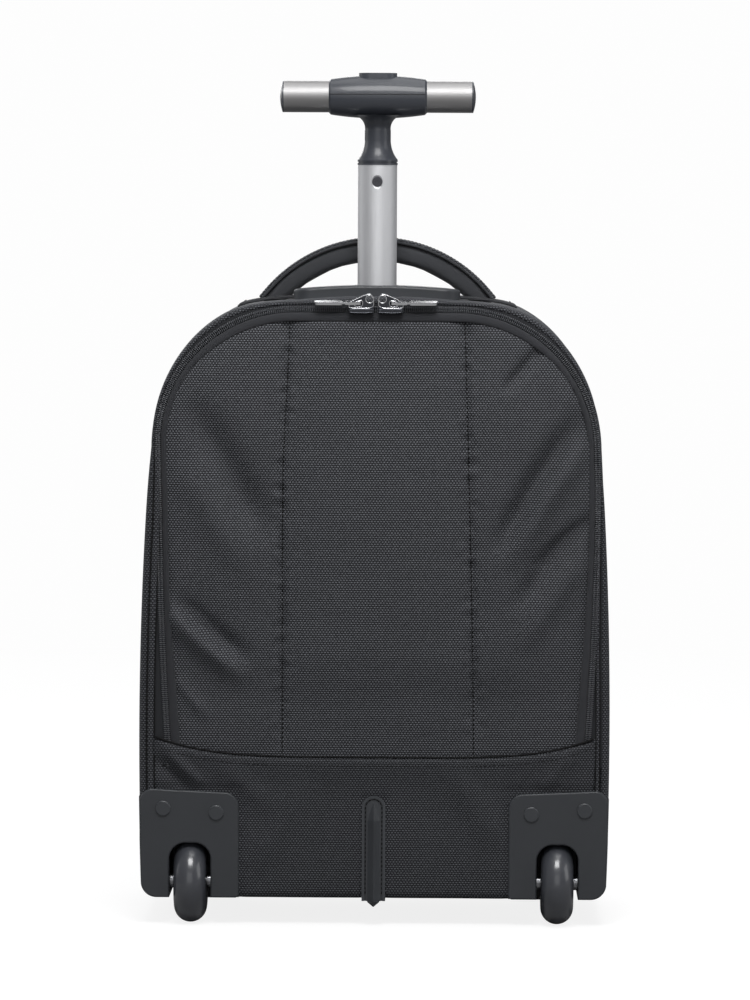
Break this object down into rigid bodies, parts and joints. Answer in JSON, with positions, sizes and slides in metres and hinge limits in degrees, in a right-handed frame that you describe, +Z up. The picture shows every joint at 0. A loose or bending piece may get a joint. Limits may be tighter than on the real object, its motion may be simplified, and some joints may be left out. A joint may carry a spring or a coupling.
{
  "type": "rolling_laptop_case",
  "caption": "Arched soft laptop case on two corner wheels, with a single telescopic T-grip tube, a zipped rear panel, a padded carry handle and a lidded main compartment.",
  "frame": {"origin": "On the floor, under the middle of the case's overall box.", "axes": "+Z is up. -Y is the wheel side with the zipped rear panel; the main compartment opens towards +Y. +X is to the right for a viewer who faces the wheel side."},
  "size_m": [0.36, 0.224, 0.6512],
  "materials": {
    "shell_fabric": "woven polyester, honeycomb dobby weave",
    "lining_fabric": "plain woven lining",
    "pad_fabric": "air mesh over foam",
    "webbing": "ribbed nylon webbing",
    "board_plastic": "extruded sheet",
    "tube_aluminium": "satin anodised",
    "grip_aluminium": "satin anodised, darker",
    "grip_plastic": "fine texture",
    "trim_plastic": "fine spark texture",
    "button_plastic": "smooth",
    "zip_coil": "nylon coil on woven tape",
    "zip_metal": "bright nickel",
    "zip_dark_metal": "gunmetal",
    "steel": "zinc plated",
    "tyre_rubber": "glossy polyurethane",
    "wheel_plastic": "moulded",
    "foot_rubber": "moulded"
  },
  "bodies": {
    "case": {"crown_gusset": "shell_fabric", "side_gusset_left": "shell_fabric", "side_gusset_right": "shell_fabric", "bottom_panel": "shell_fabric", "rear_lower_panel": "shell_fabric", "frame_board": "board_plastic", "back_pad": "pad_fabric", "shoulder_straps": "pad_fabric", "strap_webbing": "webbing", "ladder_locks": "board_plastic", "inner_divider": "lining_fabric", "laptop_pad": "lining_fabric", "base_tray": "board_plastic", "outer_tube": "tube_aluminium", "tube_foot_bracket": "board_plastic", "bezel": "trim_plastic", "case_screws": "steel", "wheel_housing_left": "trim_plastic", "wheel_housing_right": "trim_plastic", "guard_rivets": "trim_plastic", "wheel_axles": "steel", "axle_washers": "steel", "kick_strip": "trim_plastic", "stand_feet": "foot_rubber", "handle_anchors": "shell_fabric", "case_zip_tapes": "zip_coil"},
    "middle_stage": {"middle_tube": "tube_aluminium", "middle_bush": "grip_plastic", "middle_lock_block": "board_plastic"},
    "middle_lock": {"middle_lock_bolt": "steel"},
    "handle_stage": {"inner_tube": "tube_aluminium", "inner_lock_block": "board_plastic", "grip_body": "grip_plastic", "grip_cover": "grip_plastic", "grip_bar": "grip_aluminium", "end_caps": "trim_plastic", "tube_screw": "steel", "button_ring": "button_plastic", "button_spring": "steel"},
    "inner_lock": {"inner_lock_bolt": "steel"},
    "button": {"push_button": "button_plastic", "push_rod": "steel"},
    "wheel_left": {"tyre_left": "tyre_rubber", "wheel_core_left": "wheel_plastic"},
    "wheel_right": {"tyre_right": "tyre_rubber", "wheel_core_right": "wheel_plastic"},
    "carry_grip": {"carry_handle": "shell_fabric"},
    "flap": {"rear_flap": "shell_fabric", "rear_flap_zip": "zip_coil"},
    "slider_left": {"rear_slider_left": "zip_dark_metal"},
    "slider_right": {"rear_slider_right": "zip_dark_metal"},
    "pull_left": {"rear_pull_left": "zip_metal"},
    "pull_right": {"rear_pull_right": "zip_metal"},
    "lid": {"lid_panel": "shell_fabric", "lid_zip": "zip_coil", "pocket_ring": "shell_fabric"},
    "lid_runner_left": {"lid_slider_left": "zip_dark_metal"},
    "lid_runner_right": {"lid_slider_right": "zip_dark_metal"},
    "pocket": {"pocket_panel": "shell_fabric"},
    "pocket_runner": {"pocket_slider": "zip_dark_metal"}
  },
  "joints": [
    {"name": "middle_slide", "type": "slide", "parent": "case", "child": "middle_stage", "axis": [0, 0, 1], "range_m": [0, 0.235]},
    {"name": "handle_slide", "type": "slide", "parent": "middle_stage", "child": "handle_stage", "axis": [0, 0, 1], "range_m": [-0.09, 0.145]},
    {"name": "button_press", "type": "slide", "parent": "handle_stage", "child": "button", "axis": [0, 0, -1], "range_m": [0, 0.0035], "stiffness_N_per_m": 900, "springref_m": -0.002, "deforming": ["button_spring"]},
    {"name": "inner_lock_slide", "type": "slide", "parent": "handle_stage", "child": "inner_lock", "axis": [-1, 0, 0], "range_m": [0, 0.003]},
    {"name": "middle_lock_slide", "type": "slide", "parent": "middle_stage", "child": "middle_lock", "axis": [-1, 0, 0], "range_m": [0, 0.003]},
    {"name": "wheel_left_spin", "type": "hinge", "parent": "case", "child": "wheel_left", "pos_m": [-0.1405, -0.08, 0.032], "axis": [1, 0, 0], "continuous": true},
    {"name": "wheel_right_spin", "type": "hinge", "parent": "case", "child": "wheel_right", "pos_m": [0.1405, -0.08, 0.032], "axis": [1, 0, 0], "continuous": true},
    {"name": "carry_handle_fold", "type": "hinge", "parent": "case", "child": "carry_grip", "pos_m": [0, 0, 0.4804], "axis": [-1, 0, 0], "range_deg": [0, 75]},
    {"name": "flap_open", "type": "hinge", "parent": "case", "child": "flap", "pos_m": [0, -0.099, 0.141], "axis": [1, 0, 0], "range_deg": [0, 100]},
    {"name": "slider_left_run", "type": "slide", "parent": "flap", "child": "slider_left", "axis": [-1, 0, 0], "range_m": [0, 0.038]},
    {"name": "slider_right_run", "type": "slide", "parent": "flap", "child": "slider_right", "axis": [1, 0, 0], "range_m": [0, 0.038]},
    {"name": "pull_left_swing", "type": "hinge", "parent": "slider_left", "child": "pull_left", "pos_m": [-0.013, -0.10188, 0.47635], "axis": [0, 0.9781, 0.2079], "range_deg": [0, 95]},
    {"name": "pull_right_swing", "type": "hinge", "parent": "slider_right", "child": "pull_right", "pos_m": [0.013, -0.10188, 0.47635], "axis": [0, -0.9781, -0.2079], "range_deg": [0, 95]},
    {"name": "lid_open", "type": "hinge", "parent": "case", "child": "lid", "pos_m": [0, 0.084, 0.06], "axis": [-1, 0, 0], "range_deg": [0, 90]},
    {"name": "lid_runner_left_run", "type": "slide", "parent": "lid", "child": "lid_runner_left", "axis": [-1, 0, 0], "range_m": [0, 0.045]},
    {"name": "lid_runner_right_run", "type": "slide", "parent": "lid", "child": "lid_runner_right", "axis": [1, 0, 0], "range_m": [0, 0.045]},
    {"name": "pocket_open", "type": "hinge", "parent": "lid", "child": "pocket", "pos_m": [0, 0.1083, 0.078], "axis": [-1, 0, 0], "range_deg": [0, 60]},
    {"name": "pocket_runner_run", "type": "slide", "parent": "pocket", "child": "pocket_runner", "axis": [-1, 0, 0], "range_m": [0, 0.18]}
  ],
  "couplings": [
    {"joint": "inner_lock_slide", "follows": "button_press", "ratio": 0.8},
    {"joint": "middle_lock_slide", "follows": "button_press", "ratio": 0.8}
  ]
}
